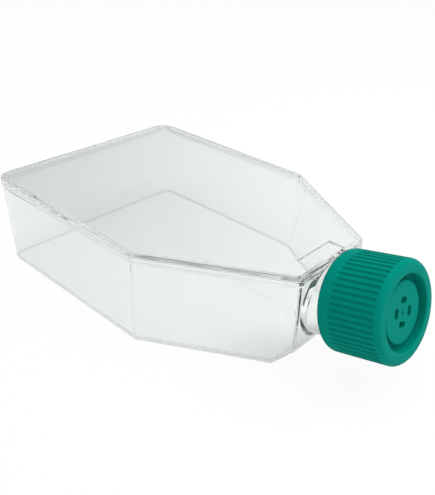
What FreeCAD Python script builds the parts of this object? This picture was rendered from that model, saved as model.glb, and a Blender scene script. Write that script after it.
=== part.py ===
import FreeCAD, Part
import math
import os
import PartDesign
import Sketcher

# Cell culture flask, lying on its growth face: a moulded tray with a canted threaded neck, a plate
# welded over the open top of the tray, and a vented screw cap that carries a filter membrane.
#
# Frame, in millimetres: Z = 0 is the underside that the flask rests on, X points along the flask
# towards the neck, and the origin is the middle of the parallel-sided length, on the mirror plane.
# The neck and the cap are drawn about their own Z axis, then canted onto the front of the tray.

doc = FreeCAD.newDocument("culture_flask")

# ---------------------------------------------------------------------------------------------
# Driving dimensions
# ---------------------------------------------------------------------------------------------

SIZES = {
    # outline of the top plate, and of the flange under it
    "plate_width": 84.0,
    "straight_length": 76.8,
    "shoulder_length": 44.6,
    "front_margin": 3.5,
    "rear_corner_radius": 6.0,
    "shoulder_corner_radius": 3.0,
    "front_corner_radius": 2.5,
    # heights and walls of the tray
    "flask_height": 33.9,
    "flange_thickness": 1.0,
    "flange_overhang": 0.8,
    "cove_height": 2.1,
    "cove_depth": 0.6,
    "wall_thickness": 1.3,
    "floor_thickness": 1.4,
    "side_lean": 0.3,
    "rear_lean": 2.0,
    "tray_rear_radius": 4.0,
    "floor_edge_radius": 1.2,
    "floor_inside_radius": 0.8,
    # the floor rises to the neck over a short ramp
    "ramp_length": 6.0,
    "neck_to_ramp": 1.25,
    # top plate, with a step that drops inside the walls and a relief over the mouth of the neck
    "plate_thickness": 1.8,
    "plate_edge_radius": 0.4,
    "seam_radius": 0.25,
    "step_height": 0.4,
    "step_clearance": 0.1,
    "relief_length": 5.6,
    "relief_width": 16.8,
    "relief_depth": 0.8,
    # canted neck, whose top lies a little below the plate's where the two meet
    "neck_tilt": 14.7,
    "neck_drop": 0.7,
    "neck_diameter": 24.8,
    "neck_wall": 1.5,
    "neck_exposed": 5.95,
    "neck_to_plate": 0.1,
    "root_flare": 1.4,
    "root_length": 1.4,
    "lip_radius": 0.5,
    # screw thread, one ridge on the neck and one in the cap
    "thread_pitch": 4.0,
    "thread_turns": 1.5,
    "cap_thread_turns": 1.25,
    "thread_height": 1.1,
    "thread_root": 1.8,
    "thread_crest": 0.9,
    "thread_to_lip": 1.6,
    "thread_clearance": 0.25,
    "flank_clearance": 0.2,
    "thread_sink": 0.2,
    # cap
    "cap_wall": 2.05,
    "cap_draft": 0.3,
    "cap_length": 20.1,
    "cap_open_radius": 1.6,
    "cap_front_radius": 2.0,
    "recess_edge_radius": 0.4,
    "band_width": 4.0,
    "flute_count": 54.0,
    "flute_radius": 0.55,
    "flute_depth": 0.42,
    "flute_run_out": 1.0,
    "flute_to_front": 1.1,
    "end_thickness": 4.2,
    "seat_gap": 0.05,
    "ring_groove_width": 2.15,
    "ring_groove_depth": 3.0,
    "disc_recess": 1.4,
    "disc_thickness": 1.6,
    "skirt_gap": 0.7,
    "skirt_wall": 1.1,
    "relief_wall": 1.5,
    "plug_wall": 0.85,
    "plug_length": 3.0,
    "plug_clearance": 0.15,
    # vents in the disc, and the gate mark between them
    "vent_count": 4.0,
    "vent_reach": 3.6,
    "vent_width": 2.0,
    "vent_span": 3.3,
    "vent_turn": 16.0,
    "gate_diameter": 1.0,
    "gate_height": 0.3,
    # filter membrane, welded to the underside of the disc
    "membrane_margin": 0.6,
    "membrane_thickness": 0.25,
}

sheet = doc.addObject("Spreadsheet::Sheet", "Sizes")
for row, (alias, value) in enumerate(SIZES.items(), start=1):
    sheet.set(f"A{row}", alias)
    sheet.set(f"B{row}", str(value))
    sheet.setAlias(f"B{row}", alias)
doc.recompute()

# Expressions that several pieces share
HALF_WIDTH = "(Sizes.plate_width / 2)"
SHOULDER_X = "(Sizes.straight_length / 2)"
FRONT_X = "(Sizes.straight_length / 2 + Sizes.shoulder_length)"
FRONT_WIDTH = "(Sizes.neck_diameter + 2 * Sizes.front_margin)"
SHOULDER_SLOPE = f"((Sizes.plate_width - {FRONT_WIDTH}) / 2 / Sizes.shoulder_length)"
PLATE_UNDERSIDE = "(Sizes.flask_height - Sizes.plate_thickness)"
FLANGE_UNDERSIDE = f"({PLATE_UNDERSIDE} - Sizes.flange_thickness)"
NECK_RADIUS = "(Sizes.neck_diameter / 2)"
BORE_RADIUS = "(Sizes.neck_diameter / 2 - Sizes.neck_wall)"
NECK_REACH = f"({NECK_RADIUS} / cos(Sizes.neck_tilt))"
NECK_HEIGHT = f"(Sizes.flask_height - Sizes.neck_drop - {NECK_REACH})"
WALL_FRONT_X = f"({FRONT_X} - Sizes.flange_overhang)"
RAMP_FOOT_X = f"({WALL_FRONT_X} - Sizes.ramp_length)"
RAMP_RISE = f"({NECK_HEIGHT} - {NECK_REACH} - Sizes.neck_to_ramp)"
RAMP_SLOPE = f"({RAMP_RISE} / Sizes.ramp_length)"
CAP_DEPTH = "(Sizes.cap_length - Sizes.end_thickness)"
CAP_BORE_RADIUS = f"({NECK_RADIUS} + Sizes.thread_height + Sizes.thread_clearance)"
NECK_LENGTH = f"(Sizes.neck_exposed + {CAP_DEPTH} - Sizes.seat_gap)"
DISC_UNDERSIDE = "(Sizes.cap_length - Sizes.disc_recess - Sizes.disc_thickness)"
CAP_RADIUS = f"({CAP_BORE_RADIUS} + Sizes.cap_wall)"
PLUG_RADIUS = f"({BORE_RADIUS} - Sizes.plug_clearance)"
RELIEF_RADIUS = f"({NECK_RADIUS} + Sizes.plug_clearance)"
DISC_RADIUS = f"({PLUG_RADIUS} - Sizes.plug_wall - Sizes.skirt_gap)"
RING_RADIUS = f"({DISC_RADIUS} + Sizes.ring_groove_width)"
DISC_TOP = "(Sizes.cap_length - Sizes.disc_recess)"
SKIRT_RADIUS = f"({DISC_RADIUS} - Sizes.skirt_wall)"


# ---------------------------------------------------------------------------------------------
# Helpers
# ---------------------------------------------------------------------------------------------

def value_of(expression):
    """An expression's present value, used to draw a sketch where its constraints will hold it."""
    return float(sheet.evalExpression(expression))


def body(label):
    """A PartDesign body with a label of its own."""
    made = doc.addObject("PartDesign::Body", label)
    made.Label = label
    return made


def origin_item(owner, role):
    """One of a body's own origin planes or axes, found by its role."""
    for item in owner.Origin.OriginFeatures:
        if item.Role == role:
            return item
    raise ValueError(f"{owner.Label} has no {role}")


def sketch_on(owner, name, role="XY_Plane", height="0"):
    """An empty sketch on a body's origin plane, moved along the plane's normal."""
    made = owner.newObject("Sketcher::SketchObject", name)
    made.AttachmentSupport = [(origin_item(owner, role), "")]
    made.MapMode = "FlatFace"
    made.setExpression("AttachmentOffset.Base.z", height)
    return made


def hold(sketch, kind, targets, expression):
    """A driving dimension whose value comes from the sheet."""
    index = sketch.addConstraint(Sketcher.Constraint(kind, *targets, value_of(expression)))
    sketch.setExpression(f"Constraints[{index}]", expression)


def hold_point(sketch, geometry, point, x, y):
    """Holds a point at (x, y) from the sketch's origin, both of them expressions."""
    for kind, expression, axis in (("DistanceX", x, -2), ("DistanceY", y, -1)):
        if expression == "0":
            sketch.addConstraint(Sketcher.Constraint("PointOnObject", geometry, point, axis))
        elif expression.startswith("-"):
            hold(sketch, kind, (geometry, point, -1, 1), expression[1:])
        else:
            hold(sketch, kind, (-1, 1, geometry, point), expression)


def polygon(sketch, corners):
    """A closed polygon through corners given as (x, y) expressions."""
    spots = [FreeCAD.Vector(value_of(x), value_of(y), 0) for x, y in corners]
    count = len(spots)
    for index in range(count):
        sketch.addGeometry(Part.LineSegment(spots[index], spots[(index + 1) % count]))
    for index in range(count):
        sketch.addConstraint(Sketcher.Constraint("Coincident", index, 2, (index + 1) % count, 1))
    for index, (x, y) in enumerate(corners):
        hold_point(sketch, index, 1, x, y)


def circle(sketch, x, y, radius):
    """A circle centred at (x, y) in the sketch."""
    spot = FreeCAD.Vector(value_of(x), value_of(y), 0)
    curve = sketch.addGeometry(Part.Circle(spot, FreeCAD.Vector(0, 0, 1), value_of(radius)))
    hold_point(sketch, curve, 3, x, y)
    hold(sketch, "Radius", (curve,), radius)


def flask_outline(owner, name, height, side, rear, front, radii):
    """The flask's six-sided outline, moved in from the plate's edge by side, rear and front.

    The shoulders move in as far as the sides. radii are for the front, shoulder and rear corners.
    """
    sketch = sketch_on(owner, name, height=height)
    side_y = f"{HALF_WIDTH} - ({side})"
    shoulder_x = f"{SHOULDER_X} - ({side}) * tan(atan({SHOULDER_SLOPE}) / 2)"
    front_x = f"{FRONT_X} - ({front})"
    front_y = f"{side_y} - {SHOULDER_SLOPE} * ({front_x} - ({shoulder_x}))"
    rear_x = f"-({SHOULDER_X} - ({rear}))"

    # the sharp corners, anticlockwise: three held on one side, then their mirror images
    corners = [(front_x, front_y), (shoulder_x, side_y), (rear_x, side_y)]
    upper = [FreeCAD.Vector(value_of(x), value_of(y), 0) for x, y in corners]
    spots = upper + [FreeCAD.Vector(spot.x, -spot.y, 0) for spot in reversed(upper)]
    marks = [sketch.addGeometry(Part.Point(spot), True) for spot in spots]
    for mark, (x, y) in zip(marks, corners):
        hold_point(sketch, mark, 1, x, y)
    for index in range(3):
        sketch.addConstraint(
            Sketcher.Constraint("Symmetric", marks[index], 1, marks[5 - index], 1, -1))

    # an arc round each corner, and a straight side from each arc to the next
    corner_radii = list(radii) + list(reversed(radii))
    arcs = []
    for index, spot in enumerate(spots):
        radius = value_of(corner_radii[index])
        back = (spots[index - 1] - spot).normalize()
        ahead = (spots[(index + 1) % 6] - spot).normalize()
        half_angle = back.getAngle(ahead) / 2
        centre = spot + (back + ahead).normalize() * (radius / math.sin(half_angle))
        outward = math.atan2(spot.y - centre.y, spot.x - centre.x)
        sweep = math.pi / 2 - half_angle
        round_corner = Part.Circle(centre, FreeCAD.Vector(0, 0, 1), radius)
        arcs.append(Part.ArcOfCircle(round_corner, outward - sweep, outward + sweep))
    lines = []
    for index, arc in enumerate(arcs):
        following = (index + 1) % 6
        side_line = Part.LineSegment(arc.EndPoint, arcs[following].StartPoint)
        line = sketch.addGeometry(side_line)
        sketch.addConstraint(Sketcher.Constraint("PointOnObject", marks[index], 1, line))
        sketch.addConstraint(Sketcher.Constraint("PointOnObject", marks[following], 1, line))
        lines.append(line)
    for index, arc in enumerate(arcs):
        curve = sketch.addGeometry(arc)
        sketch.addConstraint(Sketcher.Constraint("Tangent", lines[index - 1], 2, curve, 1))
        sketch.addConstraint(Sketcher.Constraint("Tangent", curve, 2, lines[index], 1))
        hold(sketch, "Radius", (curve,), corner_radii[index])
    return sketch


def pad(owner, name, profile, length):
    """A plain extrusion along the sketch's normal."""
    made = owner.newObject("PartDesign::Pad", name)
    made.Profile = profile
    made.setExpression("Length", length)
    return made


def loft(owner, name, first, others):
    """A solid with straight walls from one outline to the next."""
    made = owner.newObject("PartDesign::AdditiveLoft", name)
    made.Profile = first
    made.Sections = others
    made.Ruled = True
    return made


def through_pocket(owner, name, profile):
    """A cut right through the body, both ways from the sketch, checked to remove something."""
    doc.recompute()
    before = owner.Shape.Volume
    made = owner.newObject("PartDesign::Pocket", name)
    made.Profile = profile
    made.Type = "ThroughAll"
    made.Midplane = True
    doc.recompute()
    if made.Shape.Volume > before - 0.1:
        raise ValueError(f"{name} cuts nothing")
    return made


def blind_pocket(owner, name, profile, length):
    """A cut of a given length, down from the sketch, checked to remove something."""
    doc.recompute()
    before = owner.Shape.Volume
    made = owner.newObject("PartDesign::Pocket", name)
    made.Profile = profile
    made.setExpression("Length", length)
    doc.recompute()
    if made.Shape.Volume > before - 0.1:
        raise ValueError(f"{name} cuts nothing")
    return made


def turned(owner, name, corners):
    """A solid turned about the body's Z axis from corners given as (radius, height)."""
    sketch = sketch_on(owner, f"{name}_section", role="XZ_Plane")
    polygon(sketch, corners)
    made = owner.newObject("PartDesign::Revolution", name)
    made.Profile = sketch
    made.ReferenceAxis = (origin_item(owner, "Z_Axis"), [""])
    made.Angle = 360
    return made


def patterned(owner, name, feature, count):
    """Copies of a feature spaced evenly round the body's Z axis."""
    made = owner.newObject("PartDesign::PolarPattern", name)
    made.Originals = [feature]
    made.Axis = (origin_item(owner, "Z_Axis"), [""])
    made.Angle = 360
    made.setExpression("Occurrences", count)
    owner.Tip = made
    doc.recompute()
    return made


def rounded(owner, name, edges, radius):
    """A fillet on edges of the body's latest feature."""
    if not edges:
        raise ValueError(f"{name} has no edges to round")
    base = owner.Tip
    made = owner.newObject("PartDesign::Fillet", name)
    made.Base = (base, edges)
    made.setExpression("Radius", radius)
    doc.recompute()
    return made


def edges_where(shape, test):
    """Names of the edges whose bounding box passes a test."""
    return [f"Edge{index}" for index, edge in enumerate(shape.Edges, start=1)
            if test(edge.BoundBox)]


def edges_at(owner, height):
    """Names of the edges of a body's latest feature that lie flat at one height."""
    doc.recompute()
    level = value_of(height)
    return edges_where(owner.Shape, lambda box: abs(box.ZMin - level) < 1e-4
                       and abs(box.ZMax - level) < 1e-4)


def cant(owner, along):
    """Stands a body's Z axis on the neck's axis, a given way out from the front plane."""
    owner.Placement = FreeCAD.Placement(
        FreeCAD.Vector(0, 0, 0), FreeCAD.Rotation(FreeCAD.Vector(0, 1, 0), 90))
    owner.setExpression("Placement.Rotation.Angle", "90 - Sizes.neck_tilt")
    owner.setExpression("Placement.Base.x", f"{FRONT_X} + ({along}) * cos(Sizes.neck_tilt)")
    owner.setExpression("Placement.Base.z", f"{NECK_HEIGHT} + ({along}) * sin(Sizes.neck_tilt)")


# ---------------------------------------------------------------------------------------------
# Tray: the leaning walls and the ramped floor, made alike for the outside and for the hollow
# ---------------------------------------------------------------------------------------------

CORNER_RADII = ["Sizes.front_corner_radius", "Sizes.shoulder_corner_radius",
                "Sizes.rear_corner_radius"]
TRAY_RADII = CORNER_RADII[:2] + ["Sizes.tray_rear_radius"]
INSIDE_RADII = [f"{radius} - Sizes.wall_thickness" for radius in TRAY_RADII]


def underside_edges(shape, floor_z, foot_x):
    """Names of the edges round the floor and the ramp, without the crease between the two."""
    slope = value_of(RAMP_SLOPE)
    names = []
    for index, edge in enumerate(shape.Edges, start=1):
        first, last = edge.ParameterRange
        spots = [edge.valueAt(at) for at in (first, (first + last) / 2, last)]
        on_floor = all(abs(spot.z - floor_z) < 1e-5 for spot in spots)
        on_ramp = all(abs(spot.z - floor_z - slope * (spot.x - foot_x)) < 1e-5 for spot in spots)
        if on_floor != on_ramp:
            names.append(f"Edge{index}")
    return names


def tray_form(label, inset, floor, top, foot_x, corner_radii, edge_radius):
    """A form with leaning walls and a ramped floor, between the heights floor and top."""
    owner = body(label)
    lower = flask_outline(owner, f"{label}_floor_outline", floor, f"{inset} + Sizes.side_lean",
                          f"{inset} + Sizes.rear_lean", inset, corner_radii)
    upper = flask_outline(owner, f"{label}_rim_outline", top, inset, inset, inset, corner_radii)
    loft(owner, f"{label}_walls", lower, [upper])
    ramp = sketch_on(owner, f"{label}_ramp_section", role="XZ_Plane")
    polygon(ramp, [(foot_x, floor), (FRONT_X, floor),
                   (FRONT_X, f"{floor} + ({FRONT_X} - ({foot_x})) * {RAMP_SLOPE}")])
    through_pocket(owner, f"{label}_ramp", ramp)
    edges = underside_edges(owner.Shape, value_of(floor), value_of(foot_x))
    rounded(owner, f"{label}_floor_edge", edges, edge_radius)
    return owner


tray_outside = tray_form("tray_outside", "Sizes.flange_overhang", "0", PLATE_UNDERSIDE,
                         RAMP_FOOT_X, TRAY_RADII, f"min(Sizes.floor_edge_radius; {RAMP_RISE} / 2)")
inner_foot_x = f"{RAMP_FOOT_X} - Sizes.floor_thickness * tan(atan({RAMP_SLOPE}) / 2)"
tray_hollow = tray_form("tray_hollow", "Sizes.flange_overhang + Sizes.wall_thickness",
                        "Sizes.floor_thickness", PLATE_UNDERSIDE, inner_foot_x,
                        INSIDE_RADII, f"min(Sizes.floor_inside_radius; {RAMP_RISE} / 2)")

# The flange that the plate is welded to, with a cove under it that blends into the walls
rim = body("rim")
flange_outline = flask_outline(rim, "flange_outline", FLANGE_UNDERSIDE, "0", "0", "0", CORNER_RADII)
pad(rim, "flange", flange_outline, "Sizes.flange_thickness")
rounded(rim, "flange_seam_edge", edges_at(rim, PLATE_UNDERSIDE), "Sizes.seam_radius")
cove_foot = "Sizes.flange_overhang + Sizes.side_lean"
cove_top = "Sizes.flange_overhang - Sizes.cove_depth"
cove_lower = flask_outline(rim, "cove_lower", f"{FLANGE_UNDERSIDE} - Sizes.cove_height",
                           cove_foot, cove_foot, cove_foot, CORNER_RADII)
cove_upper = flask_outline(rim, "cove_upper", FLANGE_UNDERSIDE,
                           cove_top, cove_top, cove_top, CORNER_RADII)
loft(rim, "cove", cove_lower, [cove_upper])


# ---------------------------------------------------------------------------------------------
# Neck and its thread
# ---------------------------------------------------------------------------------------------

def thread_ridge(owner, name, foot_radius, crest_radius, start, turns):
    """A right-hand screw ridge: its section's middle starts at a height on the Z axis."""
    section = sketch_on(owner, f"{name}_section", role="XZ_Plane")
    polygon(section, [(foot_radius, f"{start} - Sizes.thread_root / 2"),
                      (crest_radius, f"{start} - Sizes.thread_crest / 2"),
                      (crest_radius, f"{start} + Sizes.thread_crest / 2"),
                      (foot_radius, f"{start} + Sizes.thread_root / 2")])
    made = owner.newObject("PartDesign::AdditiveHelix", name)
    made.Profile = section
    made.ReferenceAxis = (origin_item(owner, "Z_Axis"), [""])
    made.Mode = "pitch-turns-angle"
    made.setExpression("Pitch", "Sizes.thread_pitch")
    made.setExpression("Turns", turns)
    made.Angle = 0
    made.LeftHanded = False
    made.Reversed = False
    doc.recompute()


neck_tube = body("neck_tube")
neck_foot = f"-({NECK_RADIUS} * tan(Sizes.neck_tilt) + 2 * Sizes.wall_thickness)"
turned(neck_tube, "neck_wall_form", [
    ("0", neck_foot), (NECK_RADIUS, neck_foot), (NECK_RADIUS, NECK_LENGTH), ("0", NECK_LENGTH)])
rounded(neck_tube, "lip_rounding", edges_at(neck_tube, NECK_LENGTH), "Sizes.lip_radius")
THREAD_START = (f"({NECK_LENGTH} - Sizes.thread_to_lip - Sizes.thread_root / 2"
                " - Sizes.thread_turns * Sizes.thread_pitch)")
thread_ridge(neck_tube, "neck_thread", f"{NECK_RADIUS} - Sizes.thread_sink",
             f"{NECK_RADIUS} + Sizes.thread_height", THREAD_START, "Sizes.thread_turns")
cant(neck_tube, "0")

neck_bore = body("neck_bore")
turned(neck_bore, "neck_bore_form", [
    ("0", f"2 * {neck_foot}"),
    (BORE_RADIUS, f"2 * {neck_foot}"),
    (BORE_RADIUS, f"{NECK_LENGTH} - Sizes.lip_radius"),
    (f"{BORE_RADIUS} + Sizes.lip_radius", NECK_LENGTH),
    (f"{BORE_RADIUS} + Sizes.lip_radius", f"{NECK_LENGTH} + Sizes.neck_wall"),
    ("0", f"{NECK_LENGTH} + Sizes.neck_wall"),
])
cant(neck_bore, "0")

# The root, where the neck flares into the front wall
neck_root = body("neck_root")
root_sections = []
for name, x, radius in (("root_rear", f"{WALL_FRONT_X} - Sizes.wall_thickness / 2",
                         f"{NECK_RADIUS} + Sizes.root_flare"),
                        ("root_middle", WALL_FRONT_X, f"{NECK_RADIUS} + Sizes.root_flare"),
                        ("root_front", f"{WALL_FRONT_X} + Sizes.root_length", NECK_RADIUS)):
    section = sketch_on(neck_root, name, role="YZ_Plane", height=x)
    circle(section, "0", f"{NECK_HEIGHT} + ({x} - {FRONT_X}) * tan(Sizes.neck_tilt)", radius)
    root_sections.append(section)
loft(neck_root, "neck_flare", root_sections[0], root_sections[1:])


# ---------------------------------------------------------------------------------------------
# flask_body: tray, rim and neck are one moulding, and the plate's space is kept clear
# ---------------------------------------------------------------------------------------------

def joined(label, shapes):
    """Several solids fused into one."""
    made = doc.addObject("Part::MultiFuse", label)
    made.Shapes = shapes
    made.Refine = True
    return made


def cut(label, base, tool):
    """One solid with another taken out of it."""
    made = doc.addObject("Part::Cut", label)
    made.Base = base
    made.Tool = tool
    made.Refine = True
    return made


plate_space = body("plate_space")
around_plate = "-Sizes.neck_to_plate"
space_outline = flask_outline(plate_space, "space_outline", PLATE_UNDERSIDE,
                              around_plate, around_plate, around_plate, CORNER_RADII)
pad(plate_space, "space", space_outline, "Sizes.plate_thickness + Sizes.neck_diameter")

moulding_outside = joined("moulding_outside", [tray_outside, rim, neck_root, neck_tube])
moulding_hollow = cut("moulding_hollow", moulding_outside, tray_hollow)
moulding_bored = cut("moulding_bored", moulding_hollow, neck_bore)
flask_body = cut("flask_body", moulding_bored, plate_space)


# ---------------------------------------------------------------------------------------------
# top_plate: closes the tray
# ---------------------------------------------------------------------------------------------

top_plate = body("top_plate")
plate_outline = flask_outline(top_plate, "plate_outline", PLATE_UNDERSIDE,
                              "0", "0", "0", CORNER_RADII)
pad(top_plate, "plate", plate_outline, "Sizes.plate_thickness")
rounded(top_plate, "plate_edge", edges_at(top_plate, "Sizes.flask_height"),
        "Sizes.plate_edge_radius")
rounded(top_plate, "plate_seam_edge", edges_at(top_plate, PLATE_UNDERSIDE), "Sizes.seam_radius")
step_inset = "Sizes.flange_overhang + Sizes.wall_thickness + Sizes.step_clearance"
step_outline = flask_outline(top_plate, "step_outline", f"{PLATE_UNDERSIDE} - Sizes.step_height",
                             step_inset, step_inset, step_inset, INSIDE_RADII)
pad(top_plate, "step", step_outline, "Sizes.step_height")
relief_outline = sketch_on(
    top_plate, "relief_outline",
    height=f"{PLATE_UNDERSIDE} - Sizes.step_height + Sizes.relief_depth")
relief_front = f"{FRONT_X} - ({step_inset})"
relief_rear = f"{relief_front} - Sizes.relief_length"
relief_side = "(Sizes.relief_width / 2)"
polygon(relief_outline, [(relief_rear, f"-{relief_side}"), (relief_front, f"-{relief_side}"),
                         (relief_front, relief_side), (relief_rear, relief_side)])
blind_pocket(top_plate, "relief", relief_outline, "Sizes.relief_depth")


# ---------------------------------------------------------------------------------------------
# cap: fluted skirt, sealing plug and a vented disc sunk in its end
# ---------------------------------------------------------------------------------------------

cap = body("cap")
turned(cap, "cap_form", [
    (CAP_BORE_RADIUS, "0"),
    (CAP_RADIUS, "0"),
    (f"{CAP_RADIUS} - Sizes.cap_draft", "Sizes.cap_length"),
    (RING_RADIUS, "Sizes.cap_length"),
    (RING_RADIUS, "Sizes.cap_length - Sizes.ring_groove_depth"),
    (DISC_RADIUS, "Sizes.cap_length - Sizes.ring_groove_depth"),
    (DISC_RADIUS, DISC_TOP),
    ("Sizes.gate_diameter / 2", DISC_TOP),
    ("Sizes.gate_diameter / 2", f"{DISC_TOP} + Sizes.gate_height"),
    ("0", f"{DISC_TOP} + Sizes.gate_height"),
    ("0", DISC_UNDERSIDE),
    (SKIRT_RADIUS, DISC_UNDERSIDE),
    (SKIRT_RADIUS, CAP_DEPTH),
    (f"{PLUG_RADIUS} - Sizes.plug_wall", CAP_DEPTH),
    (f"{PLUG_RADIUS} - Sizes.plug_wall", f"{CAP_DEPTH} - Sizes.plug_length"),
    (PLUG_RADIUS, f"{CAP_DEPTH} - Sizes.plug_length"),
    (PLUG_RADIUS, CAP_DEPTH),
    (RELIEF_RADIUS, CAP_DEPTH),
    (RELIEF_RADIUS, "Sizes.cap_length - Sizes.relief_wall"),
    (CAP_BORE_RADIUS, "Sizes.cap_length - Sizes.relief_wall"),
])
doc.recompute()


def ring_edge(shape, radius, height):
    """The circular edge of a turned solid at a radius and a height, both expressions."""
    span = 2 * value_of(radius)
    level = value_of(height)
    return edges_where(shape, lambda box: abs(box.ZMin - level) < 1e-4
                       and abs(box.ZMax - level) < 1e-4 and abs(box.YLength - span) < 1e-3)


rounded(cap, "cap_front_edge",
        ring_edge(cap.Shape, f"{CAP_RADIUS} - Sizes.cap_draft", "Sizes.cap_length"),
        "Sizes.cap_front_radius")
rounded(cap, "cap_open_edge", ring_edge(cap.Shape, CAP_RADIUS, "0"),
        f"min(Sizes.cap_open_radius; ({CAP_RADIUS} - {CAP_BORE_RADIUS}) * 0.8)")
rounded(cap, "cap_recess_edges",
        ring_edge(cap.Shape, RING_RADIUS, "Sizes.cap_length")
        + ring_edge(cap.Shape, DISC_RADIUS, DISC_TOP),
        "Sizes.recess_edge_radius")


# Each flute is milled round-bottomed at one depth, and runs out to nothing at both ends
FLUTE_FRONT = "(Sizes.cap_length - Sizes.flute_to_front)"
flute_stations = [
    ("0", FLUTE_FRONT),
    ("Sizes.flute_depth", f"{FLUTE_FRONT} - Sizes.flute_run_out"),
    ("Sizes.flute_depth", "Sizes.band_width + Sizes.flute_run_out"),
    ("0", "Sizes.band_width"),
]
flute_sections = []
for index, (depth, height) in enumerate(flute_stations):
    section = sketch_on(cap, f"flute_section_{index + 1}", height=height)
    surface = f"{CAP_RADIUS} - Sizes.cap_draft * ({height}) / Sizes.cap_length"
    circle(section, f"{surface} + Sizes.flute_radius - {depth}", "0", "Sizes.flute_radius")
    flute_sections.append(section)
flute = cap.newObject("PartDesign::SubtractiveLoft", "flute")
flute.Profile = flute_sections[0]
flute.Sections = flute_sections[1:]
flute.Ruled = True
doc.recompute()
patterned(cap, "flutes", flute, "Sizes.flute_count")

CAP_THREAD_START = (f"({THREAD_START} - Sizes.neck_exposed - Sizes.flank_clearance"
                    " - (Sizes.thread_root + Sizes.thread_crest) / 2)")
thread_ridge(cap, "cap_thread", f"{CAP_BORE_RADIUS} + Sizes.thread_sink",
             f"{CAP_BORE_RADIUS} - Sizes.thread_height", CAP_THREAD_START,
             "Sizes.cap_thread_turns")


def arched_slot(sketch, reach, width, span):
    """A slot bent round the sketch's origin, centred on its X axis, with round ends."""
    middle = value_of(reach)
    half = value_of(width) / 2
    across = (value_of(span) - value_of(width)) / 2
    bend = math.asin(across / middle)
    upward = FreeCAD.Vector(0, 0, 1)
    centre = FreeCAD.Vector(0, 0, 0)
    far_end = FreeCAD.Vector(middle * math.cos(bend), across, 0)
    near_end = FreeCAD.Vector(middle * math.cos(bend), -across, 0)
    outer = sketch.addGeometry(
        Part.ArcOfCircle(Part.Circle(centre, upward, middle + half), -bend, bend))
    inner = sketch.addGeometry(
        Part.ArcOfCircle(Part.Circle(centre, upward, middle - half), -bend, bend))
    top = sketch.addGeometry(
        Part.ArcOfCircle(Part.Circle(far_end, upward, half), bend, bend + math.pi))
    bottom = sketch.addGeometry(
        Part.ArcOfCircle(Part.Circle(near_end, upward, half), math.pi - bend, 2 * math.pi - bend))
    sketch.addConstraint(Sketcher.Constraint("Coincident", outer, 3, -1, 1))
    sketch.addConstraint(Sketcher.Constraint("Coincident", inner, 3, -1, 1))
    sketch.addConstraint(Sketcher.Constraint("Tangent", outer, 2, top, 1))
    sketch.addConstraint(Sketcher.Constraint("Tangent", top, 2, inner, 2))
    sketch.addConstraint(Sketcher.Constraint("Tangent", inner, 1, bottom, 1))
    sketch.addConstraint(Sketcher.Constraint("Tangent", bottom, 2, outer, 1))
    hold(sketch, "Radius", (outer,), f"{reach} + {width} / 2")
    hold(sketch, "Radius", (inner,), f"{reach} - {width} / 2")
    hold(sketch, "DistanceY", (-1, 1, top, 3), f"({span} - {width}) / 2")
    hold(sketch, "DistanceY", (bottom, 3, -1, 1), f"({span} - {width}) / 2")


vent_section = sketch_on(cap, "vent_section", height=DISC_TOP)
vent_section.AttachmentOffset.Rotation.Axis = FreeCAD.Vector(0, 0, 1)
vent_section.setExpression("AttachmentOffset.Rotation.Angle", "-Sizes.vent_turn")
arched_slot(vent_section, "Sizes.vent_reach", "Sizes.vent_width", "Sizes.vent_span")
vent = blind_pocket(cap, "vent", vent_section, "Sizes.disc_thickness + Sizes.gate_height")
patterned(cap, "vents", vent, "Sizes.vent_count")
cant(cap, "Sizes.neck_exposed")


# ---------------------------------------------------------------------------------------------
# vent_membrane: the filter disc under the vents
# ---------------------------------------------------------------------------------------------

vent_membrane = doc.addObject("Part::Cylinder", "vent_membrane")
vent_membrane.Label = "vent_membrane"
vent_membrane.setExpression("Radius", f"{SKIRT_RADIUS} - Sizes.membrane_margin")
vent_membrane.setExpression("Height", "Sizes.membrane_thickness")
cant(vent_membrane, f"Sizes.neck_exposed + {DISC_UNDERSIDE} - Sizes.membrane_thickness")


# ---------------------------------------------------------------------------------------------
# Check and write
# ---------------------------------------------------------------------------------------------

doc.recompute()
for item in doc.Objects:
    if "Invalid" in item.State or "Error" in item.State:
        raise ValueError(f"{item.Label} did not build: {item.State}")
    if item.isDerivedFrom("Sketcher::SketchObject") and not item.FullyConstrained:
        raise ValueError(f"{item.Label} is not fully constrained")

os.makedirs("parts", exist_ok=True)
for node in (flask_body, top_plate, cap, vent_membrane):
    shape = node.Shape
    if shape.isNull() or not shape.isValid() or len(shape.Solids) != 1:
        raise ValueError(f"{node.Label} is not one valid solid")
    shape.exportStep(f"parts/{node.Label}.step")
    box = shape.optimalBoundingBox()
    print(f"{node.Label}: {shape.Volume / 1000:.2f} cm3, x {box.XMin:.2f}..{box.XMax:.2f},"
          f" y {box.YMin:.2f}..{box.YMax:.2f}, z {box.ZMin:.2f}..{box.ZMax:.2f}")
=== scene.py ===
# %% [markdown]
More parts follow.
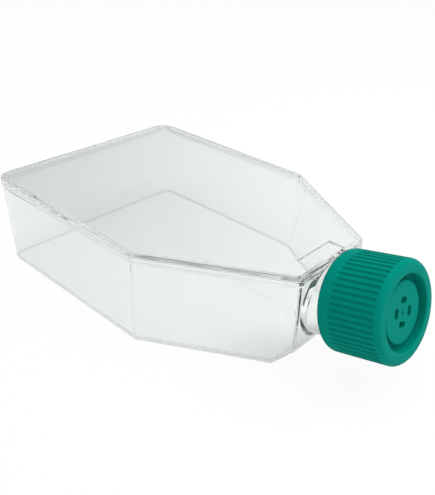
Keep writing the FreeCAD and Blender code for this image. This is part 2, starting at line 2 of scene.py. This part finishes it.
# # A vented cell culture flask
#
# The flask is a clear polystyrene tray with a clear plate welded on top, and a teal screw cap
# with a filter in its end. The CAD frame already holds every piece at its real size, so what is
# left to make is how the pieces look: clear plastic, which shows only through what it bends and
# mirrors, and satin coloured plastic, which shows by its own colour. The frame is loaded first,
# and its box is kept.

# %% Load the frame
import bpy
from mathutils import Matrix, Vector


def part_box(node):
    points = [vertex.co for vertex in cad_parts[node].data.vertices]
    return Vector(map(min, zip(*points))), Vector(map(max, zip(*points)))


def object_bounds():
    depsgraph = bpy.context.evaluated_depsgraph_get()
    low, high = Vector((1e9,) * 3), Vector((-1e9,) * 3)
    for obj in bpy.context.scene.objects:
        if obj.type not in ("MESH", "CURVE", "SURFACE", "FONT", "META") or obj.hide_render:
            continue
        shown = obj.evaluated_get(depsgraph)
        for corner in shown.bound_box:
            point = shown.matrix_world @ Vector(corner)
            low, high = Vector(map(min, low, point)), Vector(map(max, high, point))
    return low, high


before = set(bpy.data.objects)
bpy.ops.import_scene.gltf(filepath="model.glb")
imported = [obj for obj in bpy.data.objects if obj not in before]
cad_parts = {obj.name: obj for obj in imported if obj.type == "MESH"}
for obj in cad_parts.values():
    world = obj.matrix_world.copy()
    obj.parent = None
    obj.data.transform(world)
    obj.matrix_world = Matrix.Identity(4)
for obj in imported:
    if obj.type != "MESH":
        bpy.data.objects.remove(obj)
cad_box = [list(corner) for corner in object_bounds()]

import math

import bpy
from mathutils import Matrix, Vector

MM = 0.001
flask_size = [round((top - bottom) / MM, 1) for bottom, top in zip(*cad_box)]
print("pieces:", sorted(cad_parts))
print("overall size in mm:", flask_size)

# %% [markdown]
# ## Colours and nodes
#
# Colours are picked as sRGB hex values, the way a colour picker shows them, but shaders work in
# linear light, so one function converts them. A material is a small graph of nodes, and one
# function adds a node, sets it and links its inputs in a single line. It could all be done with
# separate calls for each socket, but then a material takes a page, and its recipe is hard to see.

# %% Convert a colour
def linear(hex_colour):
    """An sRGB hex colour as linear RGBA, by the curve of the sRGB standard."""
    channels = [int(hex_colour[at:at + 2], 16) / 255 for at in (1, 3, 5)]
    return [c / 12.92 if c <= 0.04045 else ((c + 0.055) / 1.055) ** 2.4 for c in channels] + [1.0]


print("mid grey #808080 in linear light:", round(linear("#808080")[0], 3))


# %% Add a node
def add_node(tree, kind, settings=None, **inputs):
    """Adds a node. settings are its own properties, inputs are sockets: a value or a link each.

    A socket is named with _ for each space, or by its number, as in _0 and _1.
    """
    node = tree.nodes.new("ShaderNode" + kind)
    for name, value in (settings or {}).items():
        setattr(node, name, value)
    for name, value in inputs.items():
        socket = node.inputs[int(name[1:]) if name[1:].isdigit() else name.replace("_", " ")]
        if isinstance(value, bpy.types.Node):
            value = value.outputs[0]
        if isinstance(value, bpy.types.NodeSocket):
            tree.links.new(value, socket)
        else:
            socket.default_value = value
    return node


def new_material(name):
    """An empty node material, and its tree."""
    material = bpy.data.materials.new(name)
    material.use_nodes = True
    material.node_tree.nodes.clear()
    return material, material.node_tree


def noise(tree, size, detail=1.0):
    """A noise pattern fixed to the object. Its lumps are size across, in metres.

    More detail adds finer lumps on the lumps.
    """
    place = add_node(tree, "TexCoord").outputs["Object"]
    return add_node(tree, "TexNoise", Vector=place, Scale=1 / size, Detail=detail)


print("a node is added by one function, and a pattern is asked for by its real size")

# %% [markdown]
# ## Crystal polystyrene
#
# The tray and the plate are injection moulded in general purpose polystyrene, called crystal
# polystyrene for its clarity, in a polished steel mould. To the eye that gives a hard, clear,
# glossy wall that bends light strongly (its IOR is 1.59), with a faint grey green cast where one
# looks along it. The plate shows a very slight ripple, from the way the melt filled the mould.
#
# It could be glass with an absorbing volume. A volume is lost where two clear solids touch, so
# the cast is a tint on the surface instead. A glass shader also blocks lamps, and finding the
# light's way through by chance is slow, so for shadow rays the surface is simply transparent.

# %% Clear plastic
POLYSTYRENE_IOR = 1.59
POLYSTYRENE_TINT = "#F6F9F8"    # the cast that light takes on at each surface
SHADOW_TINT = "#FAFBFA"         # the same, for light on its way to the paper
FLOW_RIPPLE = 25 * MM           # from one flow mark to the next
RIPPLE_HEIGHT = 0.5 * MM        # the height of the bump, of which only a small share is used
RIPPLE_STRENGTH = 0.02
POLISH = 0.03                   # a polished mould, a little softened by handling


def clear_polystyrene(name, tint):
    """Clear moulded polystyrene, whose cast is a tint on its surface; for the corners the tint
    also paints their shade.
    """
    material, tree = new_material(name)
    ripple = add_node(tree, "Bump", Height=noise(tree, FLOW_RIPPLE), Strength=RIPPLE_STRENGTH,
                      Distance=RIPPLE_HEIGHT)
    clear = add_node(tree, "BsdfPrincipled", Base_Color=linear(tint), Roughness=POLISH,
                     IOR=POLYSTYRENE_IOR, Transmission_Weight=1.0, Normal=ripple)
    lit_through = add_node(tree, "BsdfTransparent", Color=linear(SHADOW_TINT))
    shadow_ray = add_node(tree, "LightPath").outputs["Is Shadow Ray"]
    either = add_node(tree, "MixShader", _0=shadow_ray, _1=clear, _2=lit_through)
    add_node(tree, "OutputMaterial", Surface=either)
    return material


polystyrene = clear_polystyrene("moulded crystal polystyrene", POLYSTYRENE_TINT)
print(polystyrene.name, "with IOR", POLYSTYRENE_IOR)

# %% [markdown]
# ## The tray's corners, with painted shade
#
# Where the walls turn into the floor, a clear corner shows as a soft grey line, from the light
# that it bends and mirrors there. The same shows under the flange, and along the cove that
# carries it on the wall.
#
# Here that shade is painted: the narrow faces of those turns get the same plastic with a deeper,
# greyer tint.

# %% Corner plastic, with painted shade
# a deeper grey tint that paints the shade of the tray's corners
CORNER_SHADE_TINT = "#E2E6E4"
painted_corner_shade = clear_polystyrene("crystal polystyrene with painted corner shade", CORNER_SHADE_TINT)
print(painted_corner_shade.name, "tinted", CORNER_SHADE_TINT)

# %% [markdown]
# ## The weld
#
# The plate is welded to the tray's flange all round, and the two become one solid there. In the
# frame they are two solids whose faces touch, and two touching glass faces would act as a
# mirror at low angles. So the faces in the weld get a material of their own. It lets light
# straight through, and keeps a few percent of grey, because remelted plastic isn't as clear as
# moulded plastic: that is the thin grey band that runs round the rim.
#
# The two solids could be joined into one instead, but then they would not be two pieces.

# %% Weld material
WELD_GREY = "#959590"
WELD_HAZE = 0.05            # the share of the light that the weld keeps
WELD_ROUGHNESS = 0.6


def welded_polystyrene():
    """Nearly clear plastic that doesn't bend light, for faces inside the weld."""
    material, tree = new_material("welded polystyrene joint")
    haze = add_node(tree, "BsdfPrincipled", Base_Color=linear(WELD_GREY), Alpha=WELD_HAZE,
                    Roughness=WELD_ROUGHNESS, Specular_IOR_Level=0.0)
    add_node(tree, "OutputMaterial", Surface=haze)
    return material


weld = welded_polystyrene()
print(weld.name, "keeps", WELD_HAZE, "of the light")

# %% [markdown]
# ## Satin polyethylene
#
# The cap is moulded in high density polyethylene, coloured right through with a teal pigment.
# The mould is spark eroded, so the skin is satin: the colour is even and soft, with hardly any
# highlight, which keeps it deep. The grain of such a mould is about 0.05 mm, too fine to show
# here, so it is drawn coarser. The pigment is also never mixed perfectly, so the tone drifts by
# a percent or two over several millimetres.
#
# The colour could be a single value, but then the cap looks like a flat sticker from close by.

# %% Coloured plastic
TEAL = "#00897A"
TEAL_DEEP = "#008475"
PIGMENT_CLOUD = 6 * MM
SPARK_GRAIN = 0.65 * MM     # drawn coarse: the real grain is about 0.05 mm
PLASTIC_DETAIL = 2.0
GRAIN_HEIGHT = 0.2 * MM
GRAIN_STRENGTH = 0.15
SATIN = 0.55                # the roughness of a satin skin
SATIN_GLOSS = 0.015         # the eroded skin scatters nearly all of its highlight
POLYETHYLENE_IOR = 1.54


def satin_polyethylene():
    """Coloured polyethylene with the fine grain of a spark eroded mould."""
    material, tree = new_material("spark eroded teal polyethylene")
    clouds = noise(tree, PIGMENT_CLOUD, PLASTIC_DETAIL)
    tone = add_node(tree, "Mix", {"data_type": "RGBA"}, _0=clouds, _6=linear(TEAL),
                    _7=linear(TEAL_DEEP))
    grain = noise(tree, SPARK_GRAIN, PLASTIC_DETAIL)
    skin = add_node(tree, "Bump", Height=grain, Strength=GRAIN_STRENGTH, Distance=GRAIN_HEIGHT)
    plastic = add_node(tree, "BsdfPrincipled", Base_Color=tone.outputs[2], Roughness=SATIN,
                       IOR=POLYETHYLENE_IOR, Specular_IOR_Level=SATIN_GLOSS, Normal=skin)
    add_node(tree, "OutputMaterial", Surface=plastic)
    return material


polyethylene = satin_polyethylene()
print(polyethylene.name, "from", TEAL, "to", TEAL_DEEP)

# %% [markdown]
# ## Filter membrane
#
# Behind the cap's vents is a thin sheet of water repellent filter. Its pores are far smaller
# than a bacterium, so to the eye it is a matt white felt. Its fibres are drawn coarse for the
# same reason as the cap's grain. It is seen only through the vents, as pale glints.

# %% Membrane material
FIBRE_PALE = "#F4F4F0"
FIBRE_SHADE = "#D4D5CF"
FIBRE = 0.3 * MM            # drawn coarse: the real fibres are a few thousandths of a millimetre
FIBRE_DETAIL = 5.0
FIBRE_HEIGHT = 0.05 * MM
FELT_ROUGHNESS = 0.9


def filter_felt():
    """Matt white felt."""
    material, tree = new_material("matt white filter felt")
    fibres = noise(tree, FIBRE, FIBRE_DETAIL)
    tone = add_node(tree, "Mix", {"data_type": "RGBA"}, _0=fibres, _6=linear(FIBRE_SHADE),
                    _7=linear(FIBRE_PALE))
    nap = add_node(tree, "Bump", Height=fibres, Distance=FIBRE_HEIGHT)
    felt = add_node(tree, "BsdfPrincipled", Base_Color=tone.outputs[2], Roughness=FELT_ROUGHNESS,
                    Normal=nap)
    add_node(tree, "OutputMaterial", Surface=felt)
    return material


felt = filter_felt()
print(felt.name, "with fibres drawn", FIBRE / MM, "mm wide")

# %% [markdown]
# ## Finishes on the pieces
#
# Each piece from the frame keeps its mesh and takes its finish in its first material slot. The
# frame's meshes carry the true direction of each curved face, so they are all shaded smooth.
# They could be shaded flat and smoothed by angle, but that would only guess those directions.

# %% Give each piece its finish
finishes = {"flask_body": polystyrene, "top_plate": polystyrene, "cap": polyethylene,
            "vent_membrane": felt}
for name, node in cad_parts.items():
    node.data.materials.clear()
    node.data.materials.append(finishes[name])
    node.data.polygons.foreach_set("use_smooth", [True] * len(node.data.polygons))
    print(name, "is", finishes[name].name, "on", len(node.data.polygons), "faces")

# %% [markdown]
# ## The faces in the weld
#
# The weld and the corners are parts of a piece, so they need slots of their own on its mesh. Their
# faces could be picked by hand in Edit Mode, but a rule still finds them when the frame has been
# packed again. For the weld the rule is: level, and at the height of the tray's top.

# %% Give the weld its faces
WELD_HEIGHT = 32.1 * MM
SAME_HEIGHT = 0.01 * MM
LEVEL = 0.999               # how upright the direction of a level face is, at least


def give_finish(mesh, faces, material):
    """Adds the material to the mesh in a new slot, and gives it to these faces."""
    slot = len(mesh.materials)
    mesh.materials.append(material)
    for face in faces:
        face.material_index = slot


for name in ("flask_body", "top_plate"):
    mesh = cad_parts[name].data
    joined = [face for face in mesh.polygons
              if abs(face.center.z - WELD_HEIGHT) < SAME_HEIGHT and abs(face.normal.z) > LEVEL]
    give_finish(mesh, joined, weld)
    print(name, "has", len(joined), "faces in the weld")

# %% [markdown]
# ## The faces in the corners
#
# The rounded turn at the floor is found by its height and by its direction, which is neither
# level nor upright. The cove's faces look a little downwards, and the flange's underside looks
# straight down. The ramp under the neck turns gently and shows no line, so it is left out.

# %% Give the tray's corners their painted shade
TURN_TOP = 2.3 * MM                     # the turn at the floor ends below this height
TURN_LEAST, TURN_MOST = 0.15, 0.97      # from nearly upright to nearly level
RAMP_START = 58.5 * MM                  # how far along the flask the ramp begins
COVE_BOTTOM, COVE_TOP = 28.9 * MM, 30.9 * MM
COVE_LEAN = 0.05                        # how far the cove's faces look down, at least
FLANGE_UNDERSIDE = 31.1 * MM

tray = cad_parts["flask_body"].data
at_floor = [face for face in tray.polygons
            if face.center.z < TURN_TOP and face.center.x < RAMP_START
            and TURN_LEAST < abs(face.normal.z) < TURN_MOST]
at_cove = [face for face in tray.polygons
           if COVE_BOTTOM < face.center.z < COVE_TOP and face.center.x < RAMP_START
           and face.normal.z < -COVE_LEAN]
under_flange = [face for face in tray.polygons
                if abs(face.center.z - FLANGE_UNDERSIDE) < SAME_HEIGHT and face.normal.z < -LEVEL]
# the corner faces get the deeper tint that paints their shade
give_finish(tray, at_floor + at_cove + under_flange, painted_corner_shade)
print("corner faces:", len(at_floor), "at the floor,", len(at_cove), "at the cove,",
      len(under_flange), "under the flange")

# %% [markdown]
# ## The floor
#
# The flask stands on white paper. A clear object takes its look from what is behind it, so the
# paper matters as much as the plastic. Real paper would be a light grey in this light, so what
# the camera sees of it is mostly a glow of strength 1, which is white. What is seen through the
# plastic glows less, so that the shadow of the cap and the neck on the paper shows through the
# front of the flask. Light that bounces off the paper comes from the real paper alone. Brighter
# lamps would whiten the paper too, but they would bleach the cap with it.

# %% Lay the paper
PAPER = "#F4F4F4"
GLOW_TO_CAMERA = 0.93           # the share of the glow, where the camera looks straight at it
GLOW_THROUGH_PLASTIC = 0.18     # and where it looks through the plastic
FLOOR_REACH = 3.0               # metres from the middle to each edge


def through_plastic(tree, ray):
    """1 for a ray that plastic has bent or mirrored, and 0 for any other."""
    return add_node(tree, "Math", {"operation": "MAXIMUM"}, _0=ray["Is Transmission Ray"],
                    _1=ray["Is Glossy Ray"])


def paper_material():
    material, tree = new_material("white studio paper")
    ray = add_node(tree, "LightPath").outputs
    paper = add_node(tree, "BsdfDiffuse", Color=linear(PAPER))
    glow = add_node(tree, "Emission", Color=linear("#FFFFFF"), Strength=1.0)
    bent_share = add_node(tree, "Math", {"operation": "MULTIPLY"},
                          _0=through_plastic(tree, ray), _1=GLOW_THROUGH_PLASTIC)
    camera_share = add_node(tree, "Math", {"operation": "MULTIPLY"}, _0=ray["Is Camera Ray"],
                            _1=GLOW_TO_CAMERA)
    share = add_node(tree, "Math", {"operation": "MAXIMUM"}, _0=bent_share, _1=camera_share)
    surface = add_node(tree, "MixShader", _0=share, _1=paper, _2=glow)
    add_node(tree, "OutputMaterial", Surface=surface)
    return material


def lay_floor():
    corners = [(x * FLOOR_REACH, y * FLOOR_REACH, 0)
               for x, y in ((-1, -1), (1, -1), (1, 1), (-1, 1))]
    mesh = bpy.data.meshes.new("floor")
    mesh.from_pydata(corners, [], [(0, 1, 2, 3)])
    mesh.materials.append(paper_material())
    sheet = bpy.data.objects.new("floor", mesh)
    bpy.context.scene.collection.objects.link(sheet)
    return sheet


floor = lay_floor()
print(floor.name, 2 * FLOOR_REACH, "m square")

# %% [markdown]
# ## The room
#
# Clear walls show what they mirror. In an evenly white room they would vanish, so the room is
# dark on the side behind the flask's base and bright on the side of its cap, with a pale band
# low down all round, as white screens give. That draws the base end in soft grey and lets the
# front stay pale. It could be done with cards of black and white paper. A sky whose brightness
# follows the direction does the same with nothing to stand in the way of another camera.
#
# The plastic and the gloss see the whole of it. Matt surfaces show no mirror image. They get a
# gentler light that comes a little more from the flask's near side, so the cap's side isn't lost
# in shade, and the lamps above do the rest. The camera itself sees plain white.

# %% Light the room
ROOM_BEARING = math.radians(43)     # towards the bright side, from the flask's long axis
SIDE_FROM, SIDE_TO = -0.45, 0.2     # where the dark side starts to brighten, and where it ends
DARK_SIDE, BRIGHT_SIDE = 0.1, 0.95
BAND_FROM, BAND_TO = 0.05, 0.22     # how high the low band starts to fade, and where it ends
BAND_LEVEL = 0.8
MATT_BEARING = math.radians(-80)    # where matt surfaces get the most light from
MATT_LEAST, MATT_MOST = 0.25, 0.7


def along(tree, direction, bearing):
    """How far a direction in the room points along a bearing, from -1 to 1."""
    way = (math.cos(bearing), math.sin(bearing), 0.0)
    return add_node(tree, "VectorMath", {"operation": "DOT_PRODUCT"},
                    _0=direction, _1=way).outputs["Value"]


def light_room():
    """The sky: white to the camera, the room to plastic and gloss, and soft light to the rest."""
    world = bpy.data.worlds.new("studio room")
    bpy.context.scene.world = world
    world.use_nodes = True
    tree = world.node_tree
    tree.nodes.clear()
    ray = add_node(tree, "LightPath").outputs
    direction = add_node(tree, "TexCoord").outputs["Generated"]
    side = add_node(tree, "MapRange", {"interpolation_type": "SMOOTHSTEP"},
                    Value=along(tree, direction, ROOM_BEARING), From_Min=SIDE_FROM,
                    From_Max=SIDE_TO, To_Min=DARK_SIDE, To_Max=BRIGHT_SIDE)
    height = add_node(tree, "SeparateXYZ", Vector=direction).outputs["Z"]
    band = add_node(tree, "MapRange", Value=height, From_Min=BAND_FROM, From_Max=BAND_TO,
                    To_Min=BAND_LEVEL, To_Max=0.0)
    level = add_node(tree, "Math", {"operation": "MAXIMUM"}, _0=side, _1=band)
    matt = add_node(tree, "MapRange", Value=along(tree, direction, MATT_BEARING), From_Min=-1.0,
                    From_Max=1.0, To_Min=MATT_LEAST, To_Max=MATT_MOST)
    used = add_node(tree, "Mix", _0=through_plastic(tree, ray), _2=matt, _3=level)
    room = add_node(tree, "Background", Color=used, Strength=1.0)
    white = add_node(tree, "Background", Color=linear("#FFFFFF"), Strength=1.0)
    seen = add_node(tree, "MixShader", _0=ray["Is Camera Ray"], _1=room, _2=white)
    add_node(tree, "OutputWorld", Surface=seen)
    return world


room = light_room()
print(room.name, "from", DARK_SIDE, "to", BRIGHT_SIDE)

# %% [markdown]
# ## The lamps
#
# A wide softbox overhead lights the cap's top and the paper evenly. A small one, near the cap on
# the bright side and halfway up, throws the soft shadow of the cap and the neck onto the paper
# under the flask's front, and being near, it lets the paper fall off towards the flask's base.
# Lamps are objects that aim along their own -Z. Neither shows in the plastic, where a square of
# light would only look like a label.

# %% Hang the lamps
def hang_softbox(name, place, aim, size, watts):
    """A square area lamp that looks from its place to its aim. The plastic doesn't show it."""
    data = bpy.data.lights.new(name, "AREA")
    data.shape = "SQUARE"
    data.size = size
    data.energy = watts
    lamp = bpy.data.objects.new(name, data)
    lamp.location = place
    lamp.rotation_euler = (Vector(place) - Vector(aim)).to_track_quat("Z", "Y").to_euler()
    lamp.visible_glossy = False
    lamp.visible_transmission = False
    bpy.context.scene.collection.objects.link(lamp)
    print(name, "at", [round(way / MM) for way in place], "mm, with", watts, "W")


def compass(bearing, rise):
    """A direction, from the bearing round Z and the rise above the floor, in degrees."""
    around, up = math.radians(bearing), math.radians(rise)
    return Vector((math.cos(around) * math.cos(up), math.sin(around) * math.cos(up), math.sin(up)))


OVERHEAD_PLACE, OVERHEAD_AIM = (0.05, 0.1, 0.9), (0.03, 0.0, 0.0)
OVERHEAD_SIZE, OVERHEAD_WATTS = 0.8, 4.7
SIDE_BEARING, SIDE_RISE, SIDE_DISTANCE = 48, 45, 0.4    # degrees, and metres from the cap
SIDE_SIZE, SIDE_WATTS = 0.15, 0.65

cap_low, cap_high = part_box("cap")
cap_rear = Vector((cap_low[0], 0.0, (cap_low[2] + cap_high[2]) / 2))
hang_softbox("overhead softbox", OVERHEAD_PLACE, OVERHEAD_AIM, OVERHEAD_SIZE, OVERHEAD_WATTS)
side_place = cap_rear + compass(SIDE_BEARING, SIDE_RISE) * SIDE_DISTANCE
hang_softbox("side softbox", side_place, cap_rear, SIDE_SIZE, SIDE_WATTS)

# %% [markdown]
# ## The camera
#
# The camera looks at the flask from its cap end and one side, from about 30 degrees up, near
# enough for the cap to look large. It could be aimed with a constraint, but three directions of
# its own, right, up and back, make its matrix with nothing hidden, and take a small roll too.

# %% Place the camera
CAMERA_BEARING, CAMERA_RISE, CAMERA_ROLL = -47.24, 30.57, 1.72     # degrees
CAMERA_PLACE = (0.16493, -0.14002, 0.12993)
CAMERA_LENS = 45.52                 # mm
NEAREST_SEEN = 10 * MM


def place_camera():
    back = compass(CAMERA_BEARING, CAMERA_RISE)
    right = Vector((0, 0, 1)).cross(back).normalized()
    up = back.cross(right)
    roll = math.radians(CAMERA_ROLL)
    rolled_right = right * math.cos(roll) + up * math.sin(roll)
    rolled_up = up * math.cos(roll) - right * math.sin(roll)
    camera = bpy.data.objects.new("camera", bpy.data.cameras.new("camera"))
    camera.data.lens = CAMERA_LENS
    camera.data.clip_start = NEAREST_SEEN
    axes = Matrix((rolled_right, rolled_up, back)).transposed().to_4x4()
    camera.matrix_world = Matrix.Translation(CAMERA_PLACE) @ axes
    bpy.context.scene.collection.objects.link(camera)
    bpy.context.scene.camera = camera
    return camera


camera = place_camera()
print(camera.name, "at", [round(way / MM) for way in CAMERA_PLACE], "mm")

# %% [markdown]
# ## Light paths
#
# Light that enters the rim at its edge runs along inside the plastic, from wall to wall, many
# times before it gets out. The number of bounces a path may take decides how much of it comes
# back. With a few dozen, the longest paths end in the plastic, as haze and dust end them in the
# real one, and the rim has its fine grey line. With hundreds the line goes, and with ten the
# whole rim turns black. The colours are left as they are rendered, with the plain view.

# %% Set the bounces and the view
PATH_BOUNCES = 44
CLEAR_LAYERS = 64           # how many clear surfaces a shadow ray may cross
scene = bpy.context.scene
scene.cycles.max_bounces = PATH_BOUNCES
scene.cycles.transmission_bounces = PATH_BOUNCES
scene.cycles.glossy_bounces = PATH_BOUNCES
scene.cycles.transparent_max_bounces = CLEAR_LAYERS
scene.view_settings.view_transform = "Standard"
print("bounces in the plastic:", PATH_BOUNCES)
